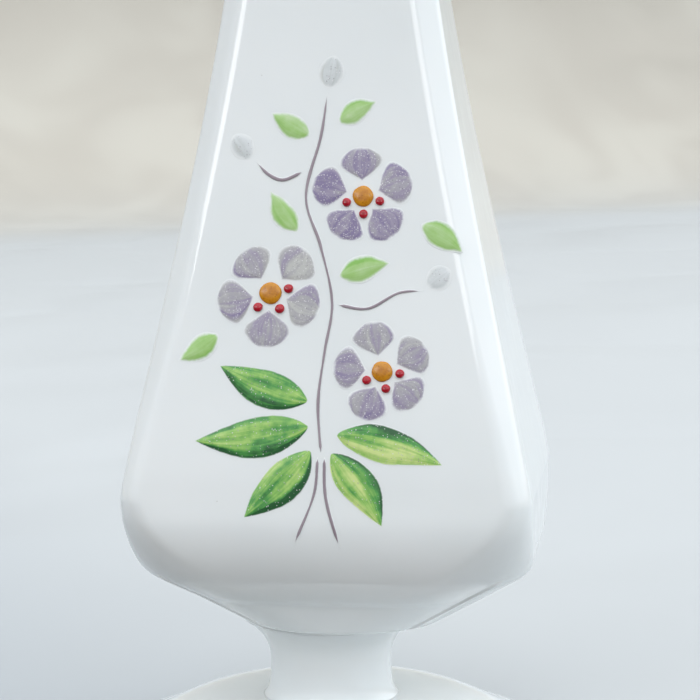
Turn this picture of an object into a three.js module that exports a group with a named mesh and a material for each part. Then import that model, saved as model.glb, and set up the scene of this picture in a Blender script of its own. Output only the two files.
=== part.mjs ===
// A four sided milk glass vase on a round stem and domed foot, with a raised enamel spray on its front.
// Millimetres, +Z up, origin on the table under the middle of the foot, painted front towards -Y.

import * as THREE from 'three';

// Glass body, outside sizes
const totalHeight = 216;
const bodyWidth = 76;
const bodyDepth = 64.6;
const widestHeight = 52.5;
const waistWidth = 32.3;
const waistDepth = 28.4;
const waistHeight = 184;
const lipWidth = 45;
const lipDepth = 40;
const cornerRadius = 5.3;
const glassWall = 3.6;
const insideCornerRadius = 2.2;
const floorThickness = 5.5;

// Crease under the body, where its round turn meets the cone down to the joint
const creaseWidth = 61.2;
const creaseDepth = 52;
const creaseHeight = 32.4;
const creaseCornerRadius = 20.6;
const cornerHeight = 54;
const edgeRadius = 2.6;

// Joint between body and stem; the body was set on a little to the right of the stem's axis
const jointHeight = 26;
const jointRadius = 19.8;
const bodyOffset = 3;
const waferThickness = 1.1;
const waferOverhang = 0.7;

// Stem and foot
const stemTopRadius = 16.2;
const stemRadius = 11.7;
const stemFootRadius = 13.2;
const footRadius = 41.5;
const footTopHeight = 9.8;
const footEdgeHeight = 2.8;
const footEdgeBevel = 1;
const footSeatMargin = 0.6;
const footRingWidth = 4;
const footHollowDepth = 5.5;

// Shares that set how full each curve is, along the length it spans
const undersideReach = 0.95;
const undersideLift = 0.32;
const turnFullness = 0.93;
const shoulderFullness = 0.05;
const neckFullness = 0.325;
const flareFullness = 0.55;
const stemNarrowShare = 0.44;
const nearlyRound = 0.96;
const bowlRoundness = 8;

// Raised enamel, and the part of the front face that it covers
const enamelGap = 0.3;
const petalThickness = 0.45;
const leafThickness = 0.4;
const beadHeight = 1;
const dotHeight = 0.9;
const stalkWidth = 0.8;
const stalkHeight = 0.4;
const topInset = 0.78;
const dotInset = 0.55;
const paintMargin = 1.5;
const sprayDrop = 8;
const sprayHeadroom = 50;

// How finely the round shapes are cut
const edgeSegments = 3;
const roundSegments = 48;
const rimSteps = 6;
const bowlSteps = 6;
const dotSides = 10;

const milkGlass = { color: 0xeef1f0, roughness: 0.12, metalness: 0 };
const petalPaint = { color: 0xb9b0c2, roughness: 0.45, metalness: 0 };
const amberPaint = { color: 0xdf9420, roughness: 0.3, metalness: 0 };
const rubyPaint = { color: 0xb81724, roughness: 0.2, metalness: 0 };
const darkLeafPaint = { color: 0x3f9440, roughness: 0.4, metalness: 0 };
const lightLeafPaint = { color: 0xa8cf74, roughness: 0.4, metalness: 0 };
const stalkPaint = { color: 0x977a80, roughness: 0.5, metalness: 0 };
const budPaint = { color: 0xdcdce6, roughness: 0.4, metalness: 0 };

const vase = new THREE.Group();

function addMesh(name, geometry, finish) {
  const mesh = new THREE.Mesh(geometry, new THREE.MeshStandardMaterial(finish));
  mesh.name = name;
  vase.add(mesh);
}

// One level of the body: a rounded rectangle, half sizes a and b, corner radius r, at height z.
function level(a, b, r, z) {
  return { a, b, r, z };
}

// The same level moved inwards through the glass, with its corners kept open.
function insideOf(outer, offset, z) {
  const r = Math.max(outer.r - offset, insideCornerRadius * offset / glassWall);
  return level(outer.a - offset, outer.b - offset, r, z);
}

// Points of a level, anticlockwise seen from above, the same number for each level. A corner is a
// narrow facet between two rounded edges; towards the crease the edges grow into one round corner.
function levelPoints({ a, b, r, z }) {
  const faceted = THREE.MathUtils.smoothstep(z, creaseHeight, cornerHeight);
  const edge = Math.min(r, mix(r, edgeRadius, faceted));
  const points = [];
  for (let corner = 0; corner < 4; corner++) {
    const start = corner * Math.PI / 2;
    const middle = start + Math.PI / 4;
    const x = Math.sign(Math.cos(middle)) * (a - r);
    const y = Math.sign(Math.sin(middle)) * (b - r);
    for (const side of [0, 1]) {
      const toward = start + side * Math.PI / 2;
      const edgeX = x + (r - edge) * Math.cos(toward);
      const edgeY = y + (r - edge) * Math.sin(toward);
      for (let step = 0; step <= edgeSegments; step++) {
        const angle = start + (side + step / edgeSegments) * Math.PI / 4;
        points.push(new THREE.Vector3(edgeX + edge * Math.cos(angle), edgeY + edge * Math.sin(angle), z));
      }
    }
  }
  return points;
}

// A closed skin through a row of levels, with a fan over the first one and over the last one.
function loftGeometry(levels) {
  const rings = levels.map(levelPoints);
  const count = rings[0].length;
  const positions = [];
  const triangles = [];
  for (const ring of rings) {
    for (const point of ring) positions.push(point.x, point.y, point.z);
  }
  for (let row = 0; row < rings.length - 1; row++) {
    for (let i = 0; i < count; i++) {
      const next = (i + 1) % count;
      const low = row * count;
      const high = low + count;
      triangles.push(low + i, low + next, high + next, low + i, high + next, high + i);
    }
  }
  const bottom = positions.length / 3;
  positions.push(0, 0, levels[0].z);
  const top = bottom + 1;
  positions.push(0, 0, levels[levels.length - 1].z);
  const last = (rings.length - 1) * count;
  for (let i = 0; i < count; i++) {
    const next = (i + 1) % count;
    triangles.push(bottom, next, i, top, last + i, last + next);
  }
  const geometry = new THREE.BufferGeometry();
  geometry.setAttribute('position', new THREE.Float32BufferAttribute(positions, 3));
  geometry.setIndex(triangles);
  geometry.computeVertexNormals();
  return geometry;
}

// Outline of the body seen from the front: half width against height, from the crease to the lip.
function underside() {
  const reach = (bodyWidth - creaseWidth) / 2;
  const rise = widestHeight - creaseHeight;
  return new THREE.CubicBezierCurve(
    new THREE.Vector2(creaseWidth / 2, creaseHeight),
    new THREE.Vector2(creaseWidth / 2 + reach * undersideReach, creaseHeight + rise * undersideLift),
    new THREE.Vector2(bodyWidth / 2, widestHeight - rise * turnFullness),
    new THREE.Vector2(bodyWidth / 2, widestHeight),
  );
}

function taper() {
  const rise = waistHeight - widestHeight;
  return new THREE.CubicBezierCurve(
    new THREE.Vector2(bodyWidth / 2, widestHeight),
    new THREE.Vector2(bodyWidth / 2, widestHeight + rise * shoulderFullness),
    new THREE.Vector2(waistWidth / 2, waistHeight - rise * neckFullness),
    new THREE.Vector2(waistWidth / 2, waistHeight),
  );
}

function flare() {
  const rise = totalHeight - waistHeight;
  return new THREE.QuadraticBezierCurve(
    new THREE.Vector2(waistWidth / 2, waistHeight),
    new THREE.Vector2(waistWidth / 2, waistHeight + rise * flareFullness),
    new THREE.Vector2(lipWidth / 2, totalHeight - glassWall / 2),
  );
}

// Share of the way that a size has gone from one value to another.
function share(value, from, to) {
  return (value - from) / (to - from);
}

function mix(from, to, t) {
  return from + (to - from) * t;
}

const jointLevel = level(jointRadius, jointRadius, jointRadius * nearlyRound, jointHeight);

// The upright corners open out towards the crease.
function cornerAt(z) {
  const squareness = THREE.MathUtils.smoothstep(z, creaseHeight, cornerHeight);
  return mix(creaseCornerRadius, cornerRadius, squareness);
}

function undersideLevel({ x, y }) {
  const t = share(x, creaseWidth / 2, bodyWidth / 2);
  return level(x, mix(creaseDepth / 2, bodyDepth / 2, t), cornerAt(y), y);
}

function taperLevel({ x, y }) {
  const t = share(x, bodyWidth / 2, waistWidth / 2);
  return level(x, mix(bodyDepth / 2, waistDepth / 2, t), cornerAt(y), y);
}

function flareLevel({ x, y }) {
  const t = share(x, waistWidth / 2, lipWidth / 2);
  return level(x, mix(waistDepth / 2, lipDepth / 2, t), cornerRadius, y);
}

const outsideLevels = [
  jointLevel,
  ...underside().getPoints(12).map(undersideLevel),
  ...taper().getPoints(16).slice(1).map(taperLevel),
  ...flare().getPoints(7).slice(1).map(flareLevel),
];

// Fire polished rim: half a circle through the thickness of the wall.
function rimLevels() {
  const lip = outsideLevels[outsideLevels.length - 1];
  const levels = [];
  for (let step = 1; step <= rimSteps; step++) {
    const angle = step / rimSteps * Math.PI;
    const offset = glassWall / 2 * (1 - Math.cos(angle));
    levels.push(insideOf(lip, offset, lip.z + glassWall / 2 * Math.sin(angle)));
  }
  return levels;
}

// Inside of the body: the outside levels moved in by the wall, closed by a round bowl over the floor.
function insideLevels() {
  const floorHeight = jointHeight + floorThickness;
  const above = outsideLevels.filter((outer) => outer.z > widestHeight);
  const wall = above.slice(0, -1).map((outer) => insideOf(outer, glassWall, outer.z));
  const widest = level(bodyWidth / 2, bodyDepth / 2, cornerRadius, widestHeight);
  const bowlTop = insideOf(widest, glassWall, widestHeight);
  const bowl = [];
  for (let step = 0; step < bowlSteps; step++) {
    const angle = step / bowlSteps * Math.PI / 2;
    const a = bowlTop.a * Math.cos(angle);
    const b = bowlTop.b * Math.cos(angle);
    const r = mix(Math.min(a, b) * nearlyRound, bowlTop.r, Math.pow(Math.cos(angle), bowlRoundness));
    bowl.push(level(a, b, r, mix(widestHeight, floorHeight, Math.sin(angle))));
  }
  return [...wall.reverse(), ...bowl];
}

function makeBody() {
  const levels = [...outsideLevels, ...rimLevels(), ...insideLevels()];
  addMesh('vase_body', loftGeometry(levels).translate(bodyOffset, 0, 0), milkGlass);
}

// A turned solid from a profile of radius against height that starts and ends on the axis.
function turned(points) {
  const geometry = new THREE.LatheGeometry(points, roundSegments);
  geometry.rotateX(Math.PI / 2);
  return geometry;
}

const waferBottom = jointHeight - waferThickness;

// Thin disc of glass between body and stem, with a softened edge.
function makeWafer() {
  const edge = stemTopRadius + waferOverhang;
  const bevel = waferThickness / 3;
  addMesh('joint_wafer', turned([
    new THREE.Vector2(0, waferBottom),
    new THREE.Vector2(edge - bevel, waferBottom),
    new THREE.Vector2(edge, waferBottom + bevel),
    new THREE.Vector2(edge, jointHeight - bevel),
    new THREE.Vector2(edge - bevel, jointHeight),
    new THREE.Vector2(0, jointHeight),
  ]), milkGlass);
}

// Solid stem: a small spread on the foot, then a flare up to the wafer.
function makeStem() {
  const narrowHeight = mix(footTopHeight, waferBottom, stemNarrowShare);
  const spread = new THREE.QuadraticBezierCurve(
    new THREE.Vector2(stemFootRadius, footTopHeight),
    new THREE.Vector2(stemRadius, mix(footTopHeight, narrowHeight, 0.2)),
    new THREE.Vector2(stemRadius, narrowHeight),
  );
  const flareUp = new THREE.CubicBezierCurve(
    new THREE.Vector2(stemRadius, narrowHeight),
    new THREE.Vector2(stemRadius, mix(narrowHeight, waferBottom, 0.5)),
    new THREE.Vector2(mix(stemRadius, stemTopRadius, 0.45), mix(narrowHeight, waferBottom, 0.75)),
    new THREE.Vector2(stemTopRadius, waferBottom),
  );
  addMesh('stem', turned([
    new THREE.Vector2(0, footTopHeight),
    ...spread.getPoints(3),
    ...flareUp.getPoints(7).slice(1),
    new THREE.Vector2(0, waferBottom),
  ]), milkGlass);
}

// Domed foot, hollowed underneath, on a flat ground ring.
function makeFoot() {
  const seat = stemFootRadius + footSeatMargin;
  const edge = footRadius - footEdgeBevel / 2;
  const dome = new THREE.CubicBezierCurve(
    new THREE.Vector2(seat, footTopHeight),
    new THREE.Vector2(mix(seat, edge, 0.61), mix(footTopHeight, footEdgeHeight, -0.12)),
    new THREE.Vector2(mix(seat, edge, 0.69), mix(footTopHeight, footEdgeHeight, 0.65)),
    new THREE.Vector2(edge, footEdgeHeight),
  );
  const ringOutside = footRadius - footEdgeBevel;
  const ringInside = ringOutside - footRingWidth;
  const hollow = new THREE.QuadraticBezierCurve(
    new THREE.Vector2(ringInside, 0),
    new THREE.Vector2(ringInside * 0.6, footHollowDepth),
    new THREE.Vector2(0, footHollowDepth),
  );
  addMesh('foot', turned([
    ...hollow.getPoints(7).reverse(),
    new THREE.Vector2(ringOutside, 0),
    new THREE.Vector2(footRadius, footEdgeBevel),
    new THREE.Vector2(footRadius, footEdgeHeight - footEdgeBevel / 2),
    ...dome.getPoints(9).reverse(),
    new THREE.Vector2(0, footTopHeight),
  ]), milkGlass);
}

// The front face at a height, on the straight facets between the body's levels.
function faceAt(z) {
  const above = outsideLevels.findIndex((outer) => outer.z >= z);
  const low = outsideLevels[above - 1];
  const high = outsideLevels[above];
  const t = share(z, low.z, high.z);
  return { depth: mix(low.b, high.b, t), flatHalf: mix(low.a - low.r, high.a - high.r, t) };
}

// The spray is drawn on a sheet that narrows upwards as the face does, in millimetres from the middle
// of its lower edge. This carries a point of the sheet to the painted part of the front face.
const sheet = { height: 90, lowerHalf: 31, upperHalf: 14.8 };

function onFace(point, lift) {
  const up = point.y / sheet.height;
  const z = mix(widestHeight - sprayDrop, waistHeight - sprayHeadroom, up);
  const { flatHalf } = faceAt(Math.max(z, widestHeight));
  const x = point.x / mix(sheet.lowerHalf, sheet.upperHalf, up) * (flatHalf - paintMargin);
  return [bodyOffset + x, -faceAt(z).depth - enamelGap - lift, z];
}

// A low pad of fired enamel: its foot follows the outline, its top is drawn in towards the middle line.
function padGeometry(outline, spine, thickness, inset = topInset) {
  const count = outline.length;
  const flat = THREE.ShapeUtils.triangulateShape(outline, []);
  const positions = [];
  outline.forEach((point) => positions.push(...onFace(point, 0)));
  outline.forEach((point, i) => {
    positions.push(...onFace(spine[i].clone().lerp(point, inset), thickness));
  });
  const triangles = [];
  for (const [a, b, c] of flat) {
    triangles.push(a, c, b, count + a, count + b, count + c);
  }
  for (let i = 0; i < count; i++) {
    const next = (i + 1) % count;
    triangles.push(i, next, count + next, i, count + next, count + i);
  }
  const geometry = new THREE.BufferGeometry();
  geometry.setAttribute('position', new THREE.Float32BufferAttribute(positions, 3));
  geometry.setIndex(triangles);
  geometry.computeVertexNormals();
  return geometry;
}

// A brush stroke: a length along a direction from its base, bent sideways by bend in the middle.
// widthAt gives the width, as a share of the full one, for a place from 0 at the base to 1 at the tip.
function strokeOutline({ base, angle, length, width, bend = 0 }, widthAt, steps) {
  const along = new THREE.Vector2(Math.cos(angle), Math.sin(angle));
  const across = new THREE.Vector2(-along.y, along.x);
  const middle = (t) => base.clone()
    .addScaledVector(along, length * t)
    .addScaledVector(across, bend * 4 * t * (1 - t));
  const outline = [];
  const spine = [];
  for (const side of [-1, 1]) {
    for (let step = 0; step < steps; step++) {
      const round = (1 - Math.cos(step / steps * Math.PI)) / 2;
      const t = side < 0 ? round : 1 - round;
      outline.push(middle(t).addScaledVector(across, side * width / 2 * widthAt(t)));
      spine.push(middle(mix(0.12, 0.88, t)));
    }
  }
  return { outline, spine };
}

const bump = (t) => Math.max(0, Math.sin(Math.PI * t));
const petalShape = (t) => Math.pow(bump(Math.pow(t, 1.25)), mix(1, 0.55, t));
const leafShape = (t) => Math.pow(bump(Math.pow(t, 0.8)), 0.9);
const budShape = (t) => Math.pow(bump(t), 0.6);

function addStroke(name, stroke, widthAt, steps, thickness, finish) {
  const { outline, spine } = strokeOutline(stroke, widthAt, steps);
  addMesh(name, padGeometry(outline, spine, thickness), finish);
}

// A round bead or dot, drawn in at its top.
function addDot(name, centre, radius, height, finish) {
  const outline = [];
  for (let i = 0; i < dotSides; i++) {
    const angle = i / dotSides * Math.PI * 2;
    outline.push(new THREE.Vector2(radius * Math.cos(angle), radius * Math.sin(angle)).add(centre));
  }
  const spine = outline.map(() => centre);
  addMesh(name, padGeometry(outline, spine, height, dotInset), finish);
}

// A thin painted line along a curve.
function addLine(name, points, width, finish) {
  const curve = new THREE.SplineCurve(points.map(([x, y]) => new THREE.Vector2(x, y)));
  const steps = Math.max(6, Math.round(curve.getLength() / 2.5));
  const left = [];
  const right = [];
  const middle = [];
  for (let step = 0; step <= steps; step++) {
    const t = step / steps;
    const point = curve.getPointAt(t);
    const tangent = curve.getTangentAt(t);
    const across = new THREE.Vector2(-tangent.y, tangent.x).multiplyScalar(width / 2);
    left.push(point.clone().add(across));
    right.push(point.clone().sub(across));
    middle.push(point);
  }
  const outline = [...right, ...left.reverse()];
  const spine = [...middle, ...middle.slice().reverse()];
  addMesh(name, padGeometry(outline, spine, stalkHeight), finish);
}

// The spray: three round blossoms, leaves and buds on a curving stalk. Places are on the sheet, and
// angles are in degrees, anticlockwise from the right.
const dotsPerBlossom = 3;

// No two petals come out of the brush alike. Lengths and widths are shares of the plain petal,
// turns are in degrees, and the bend is a share of the length.
const petalForms = [
  { length: 1, width: 1, turn: 0, bend: 0.02 },
  { length: 0.92, width: 1.02, turn: 1.5, bend: 0 },
  { length: 1.02, width: 0.96, turn: 1.5, bend: -0.02 },
  { length: 0.9, width: 0.98, turn: 0, bend: 0.02 },
  { length: 0.97, width: 1, turn: -1.5, bend: 0.02 },
];

const blossoms = [
  { name: 'upper', x: 7, y: 64, size: 19, turn: 20, firstForm: 0 },
  { name: 'middle', x: -9.5, y: 46.5, size: 20, turn: 50, firstForm: 2 },
  { name: 'lower', x: 10.5, y: 32.5, size: 18.5, turn: 30, firstForm: 4 },
];

const largeLeaves = [
  { x: -2.4, y: 27, angle: 158, length: 17, width: 7 },
  { x: -2.2, y: 22.5, angle: 188, length: 20, width: 7.6 },
  { x: -1.8, y: 18.2, angle: 226, length: 17, width: 7 },
  { x: 1.8, y: 17.8, angle: 305, length: 16, width: 6.6 },
  { x: 2.6, y: 21.1, angle: 344, length: 19, width: 6.8 },
];

const smallLeaves = [
  { x: 17.6, y: 59, angle: -35, length: 9, width: 5 },
  { x: -4.8, y: 57.6, angle: 125, length: 9, width: 4.6 },
  { x: -18.6, y: 39, angle: 215, length: 8.5, width: 4.6 },
  { x: 2.8, y: 49.5, angle: 15, length: 9.5, width: 5 },
  { x: -2.8, y: 75, angle: 150, length: 8.5, width: 4.6 },
  { x: 2.4, y: 77.4, angle: 28, length: 8, width: 4.4 },
];

const buds = [
  { name: 'top', x: 0.5, y: 83.6, angle: 80, length: 6, width: 4.8 },
  { name: 'left', x: -13.6, y: 71, angle: 130, length: 5.4, width: 4.4 },
  { name: 'right', x: 18.6, y: 47.6, angle: 40, length: 5.2, width: 4.4 },
];

const stalks = [
  {
    name: 'stalk_main',
    points: [[0, 18], [-0.6, 27], [0.4, 36], [1.6, 45], [-0.6, 55], [-3.4, 64], [-0.8, 75], [0.3, 82.8]],
  },
  { name: 'stalk_tail_left', points: [[-0.5, 17], [-1.2, 10], [-4.8, 1]] },
  { name: 'stalk_tail_right', points: [[0.6, 17], [1, 9.5], [3.6, 0.6]] },
  { name: 'tendril_left', points: [[-4.2, 68.4], [-7.6, 67], [-10.4, 68], [-13, 70.6]] },
  { name: 'tendril_right', points: [[2.7, 44.4], [8, 43.8], [13.4, 46.6], [18, 47]] },
];

const toRadians = THREE.MathUtils.degToRad;

// Petals round an open middle, an amber bead in it, and ruby dots in the gaps between petals.
function makeBlossom({ name, x, y, size, turn, firstForm }) {
  const centre = new THREE.Vector2(x, y);
  const reach = size / 2;
  const pitch = Math.PI * 2 / petalForms.length;
  const from = (angle, distance) => new THREE.Vector2(Math.cos(angle), Math.sin(angle))
    .multiplyScalar(distance)
    .add(centre);
  const inner = reach * 0.28;
  for (let i = 0; i < petalForms.length; i++) {
    const form = petalForms[(i + firstForm) % petalForms.length];
    const angle = toRadians(turn + form.turn) + i * pitch;
    const length = (reach - inner) * form.length;
    const petal = {
      base: from(angle, inner), angle, length, width: reach * 0.84 * form.width, bend: length * form.bend,
    };
    addStroke(`petal_${name}_${i + 1}`, petal, petalShape, 8, petalThickness, petalPaint);
  }
  addDot(`centre_${name}`, centre, reach * 0.19, beadHeight, amberPaint);
  for (let i = 0; i < dotsPerBlossom; i++) {
    const place = from(toRadians(turn) + (i + 2.5) * pitch, reach * 0.335);
    addDot(`ruby_dot_${name}_${i + 1}`, place, reach * 0.08, dotHeight, rubyPaint);
  }
}

function makeLeaf(name, { x, y, angle, length, width }, finish, steps) {
  const leaf = {
    base: new THREE.Vector2(x, y), angle: toRadians(angle), length, width, bend: length * 0.04,
  };
  addStroke(name, leaf, leafShape, steps, leafThickness, finish);
}

function makeBud({ name, x, y, angle, length, width }) {
  const bud = { base: new THREE.Vector2(x, y), angle: toRadians(angle), length, width };
  addStroke(`bud_${name}`, bud, budShape, 7, petalThickness, budPaint);
}

makeBody();
makeWafer();
makeStem();
makeFoot();
blossoms.forEach(makeBlossom);
largeLeaves.forEach((leaf, i) => makeLeaf(`large_leaf_${i + 1}`, leaf, darkLeafPaint, 9));
smallLeaves.forEach((leaf, i) => makeLeaf(`small_leaf_${i + 1}`, leaf, lightLeafPaint, 7));
buds.forEach(makeBud);
stalks.forEach(({ name, points }) => addLine(name, points, stalkWidth, stalkPaint));

export default vase;
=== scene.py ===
import math

import bmesh
import bpy
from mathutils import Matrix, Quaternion, Vector, noise


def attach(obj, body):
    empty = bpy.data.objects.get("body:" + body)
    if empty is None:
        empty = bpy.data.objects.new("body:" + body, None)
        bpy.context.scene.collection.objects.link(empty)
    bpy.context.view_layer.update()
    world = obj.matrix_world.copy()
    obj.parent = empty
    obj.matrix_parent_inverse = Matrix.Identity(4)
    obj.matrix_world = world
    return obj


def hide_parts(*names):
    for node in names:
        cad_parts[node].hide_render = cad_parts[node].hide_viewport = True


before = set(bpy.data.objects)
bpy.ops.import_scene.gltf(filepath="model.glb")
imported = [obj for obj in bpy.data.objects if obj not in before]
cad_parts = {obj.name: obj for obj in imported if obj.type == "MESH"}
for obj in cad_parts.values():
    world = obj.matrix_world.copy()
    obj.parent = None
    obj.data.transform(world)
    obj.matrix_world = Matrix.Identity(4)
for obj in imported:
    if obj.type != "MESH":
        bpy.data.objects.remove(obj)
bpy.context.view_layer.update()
print("packed model loaded:", len(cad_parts), "nodes")

mm = 0.001
scene = bpy.context.scene
scene.view_settings.view_transform = "Standard"


# small helpers

def mix(a, b, t):
    return a + (b - a) * t


def share(value, low, high):
    return (value - low) / (high - low)


def smooth(t):
    t = min(1.0, max(0.0, t))
    return t * t * (3 - 2 * t)


# point at t on the Bezier curve with these control points
def bezier(points, t):
    points = [Vector(p) for p in points]
    while len(points) > 1:
        points = [p.lerp(q, t) for p, q in zip(points, points[1:])]
    return points[0]


def curvePoints(points, steps):
    return [tuple(bezier(points, i / steps)) for i in range(steps + 1)]


# azimuth 0 is in front of the painted face, 90 to its right
def direction(azimuth, elevation):
    azimuth, elevation = math.radians(azimuth), math.radians(elevation)
    return Vector((math.sin(azimuth) * math.cos(elevation),
                   -math.cos(azimuth) * math.cos(elevation), math.sin(elevation)))


# quads between rows of points, where each row is a closed ring or an open line
def gridFaces(rows, columns, closed):
    faces = []
    for low in range(0, (rows - 1) * columns, columns):
        for i in range(columns if closed else columns - 1):
            j = (i + 1) % columns
            faces.append((low + i, low + j, low + columns + j, low + columns + i))
    return faces


# sRGB hex to the linear colour that shaders work in
def linear(hexColour):
    parts = [int(hexColour[i:i + 2], 16) / 255 for i in (1, 3, 5)]
    return [c / 12.92 if c <= 0.04045 else ((c + 0.055) / 1.055) ** 2.4 for c in parts] + [1.0]


# Adds a node with its settings. An input is a value, a hex colour, or a socket or node to link
# from, where a node stands for the first of its outputs in use.
def addNode(tree, kind, inputs, **settings):
    node = tree.nodes.new("ShaderNode" + kind)
    for name, value in settings.items():
        setattr(node, name, value)
    for name, value in inputs.items():
        if isinstance(value, bpy.types.Node):
            value = next(output for output in value.outputs if output.enabled)
        if isinstance(value, bpy.types.NodeSocket):
            tree.links.new(value, node.inputs[name])
        else:
            node.inputs[name].default_value = linear(value) if isinstance(value, str) else value
    return node


def newMaterial(name):
    material = bpy.data.materials.new(name)
    material.use_nodes = True
    material.node_tree.nodes.clear()
    return material, material.node_tree


def newObject(name, mesh, material):
    mesh.materials.append(material)
    piece = bpy.data.objects.new(name, mesh)
    scene.collection.objects.link(piece)
    return piece


# by slot
materials = {}


def newPiece(name, verts, faces, slot, node):
    mesh = bpy.data.meshes.new(name)
    mesh.from_pydata([Vector(v) * mm for v in verts], [], faces)
    mesh.validate()
    bm = bmesh.new()
    bm.from_mesh(mesh)
    bmesh.ops.recalc_face_normals(bm, faces=bm.faces)
    for face in bm.faces:
        face.smooth = True
    bm.to_mesh(mesh)
    bm.free()
    piece = newObject(name, mesh, materials[slot])
    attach(piece, "root")
    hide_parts(node)
    return piece


# The body was set on a little to the right of the foot's axis, here in mm.
setOff = Vector((3.0, 0, 0))

# camera: a close portrait view, a little above the table and a little to the right of the front
camera = {
    "lens": 127.0,        # mm
    "sensor": 36.0,       # mm wide
    "distance": 475.0,    # mm from the point on the body's axis that it looks at
    "height": 77.2,       # mm, that point's height
    "elevation": 7.0,     # degrees above the horizon
    "azimuth": 7.92,      # degrees to the right of the painted face
    "roll": 0.55,         # degrees
    "offAxis": 6.7,       # pixels that the axis stands left of the middle
    "picture": 700,       # pixels wide
}


def placeCamera():
    data = bpy.data.cameras.new("camera")
    data.lens = camera["lens"]
    data.sensor_width = camera["sensor"]
    data.shift_x = camera["offAxis"] / camera["picture"]
    data.clip_start = 10 * mm
    back = direction(camera["azimuth"], camera["elevation"])
    view = bpy.data.objects.new("camera", data)
    target = setOff + Vector((0, 0, camera["height"]))
    view.location = (target + back * camera["distance"]) * mm
    view.rotation_mode = "QUATERNION"
    roll = Quaternion((0, 0, 1), -math.radians(camera["roll"]))
    view.rotation_quaternion = (-back).to_track_quat("-Z", "Y") @ roll
    scene.collection.objects.link(view)
    scene.camera = view


placeCamera()
print("camera placed")


# Milk glass: opal soda-lime glass, made white by fluoride crystals, blown into a mould and then
# polished by flame. The eye sees a dense, even white with a wet gloss, a hint of softness where
# light enters a millimetre deep, faint clouds, and now and then a seed, a tiny bubble near the skin.
milkGlass = {
    "colour": "#ebeff0",
    "cloudColour": "#e5eaeb",
    "cloudRange": (0.32, 0.62),
    "cloudSize": 34.0,       # mm
    "depth": 0.9,            # mm that light spreads inside the white
    "spread": 0.18,
    "roughness": (0.035, 0.1),
    "smearRange": (0.38, 0.68),
    "smearSize": 9.0,        # mm
    "seedColour": "#b9bab6",
    "seedSpacing": 7.0,      # mm from seed to seed
    "seedSize": 0.16,        # mm
    "seedLimit": 0.7,        # share of the cells that hold no seed
    "wave": 0.012,           # mm high, the fine unevenness left by the flame
    "waveSize": 5.0,         # mm
    "ground": 0.35,          # mm above the table up to which the foot ring is ground matt
    "groundColour": "#d3d4d0",
    "groundRoughness": 0.6,
}


def makeMilkGlass():
    material, tree = newMaterial("milk glass, fire polished")
    place = addNode(tree, "TexCoord", {}).outputs["Object"]
    clouds = addNode(tree, "TexNoise", {
        "Vector": place, "Scale": 1000 / milkGlass["cloudSize"], "Detail": 2.5,
        "Roughness": 0.45})
    cloudColour = addNode(tree, "ValToRGB", {"Fac": clouds})
    tones = (milkGlass["cloudColour"], milkGlass["colour"])
    for stop, at, tone in zip(cloudColour.color_ramp.elements, milkGlass["cloudRange"], tones):
        stop.position = at
        stop.color = linear(tone)

    # seeds show as sparse grey pin pricks
    seeds = addNode(tree, "TexVoronoi", {
        "Vector": place, "Scale": 1000 / milkGlass["seedSpacing"]})
    edge = milkGlass["seedSize"] / milkGlass["seedSpacing"]
    seedMask = addNode(tree, "MapRange", {
        "Value": seeds, "From Min": edge * 0.5, "From Max": edge, "To Min": 1.0, "To Max": 0.0})
    seedParts = addNode(tree, "SeparateColor", {"Color": seeds.outputs["Color"]})
    seedPick = addNode(tree, "Math", {
        0: seedParts, 1: milkGlass["seedLimit"]}, operation="GREATER_THAN")
    seedShow = addNode(tree, "Math", {0: seedMask, 1: seedPick}, operation="MULTIPLY")
    withSeeds = addNode(tree, "Mix", {
        0: seedShow, 6: cloudColour, 7: milkGlass["seedColour"]}, data_type="RGBA")

    # the ring that the foot stands on is ground flat and matt
    height = addNode(tree, "SeparateXYZ", {"Vector": place}).outputs["Z"]
    ground = addNode(tree, "Math", {
        0: height, 1: milkGlass["ground"] * mm}, operation="LESS_THAN")
    withRing = addNode(tree, "Mix", {
        0: ground, 6: withSeeds, 7: milkGlass["groundColour"]}, data_type="RGBA")

    # handling leaves faint smears that dull the gloss in patches
    smears = addNode(tree, "TexNoise", {
        "Vector": place, "Scale": 1000 / milkGlass["smearSize"], "Detail": 4.0, "Roughness": 0.6})
    clear, dull = milkGlass["smearRange"]
    gloss = addNode(tree, "MapRange", {
        "Value": smears, "From Min": clear, "From Max": dull, "To Min": milkGlass["roughness"][0],
        "To Max": milkGlass["roughness"][1]})
    roughness = addNode(tree, "Mix", {
        0: ground, 2: gloss, 3: milkGlass["groundRoughness"]}, data_type="FLOAT")

    waves = addNode(tree, "TexNoise", {
        "Vector": place, "Scale": 1000 / milkGlass["waveSize"], "Detail": 1.0, "Roughness": 0.4})
    unevenness = addNode(tree, "Bump", {"Height": waves, "Distance": milkGlass["wave"] * mm})
    shader = addNode(tree, "BsdfPrincipled", {
        "Base Color": withRing, "Roughness": roughness, "Normal": unevenness, "IOR": 1.52,
        "Metallic": 0.0, "Subsurface Weight": milkGlass["spread"],
        "Subsurface Radius": (1.0, 0.92, 0.85), "Subsurface Scale": milkGlass["depth"] * mm},
        subsurface_method="RANDOM_WALK")
    addNode(tree, "OutputMaterial", {"Surface": shader})
    return material


materials["milk_glass"] = makeMilkGlass()


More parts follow.
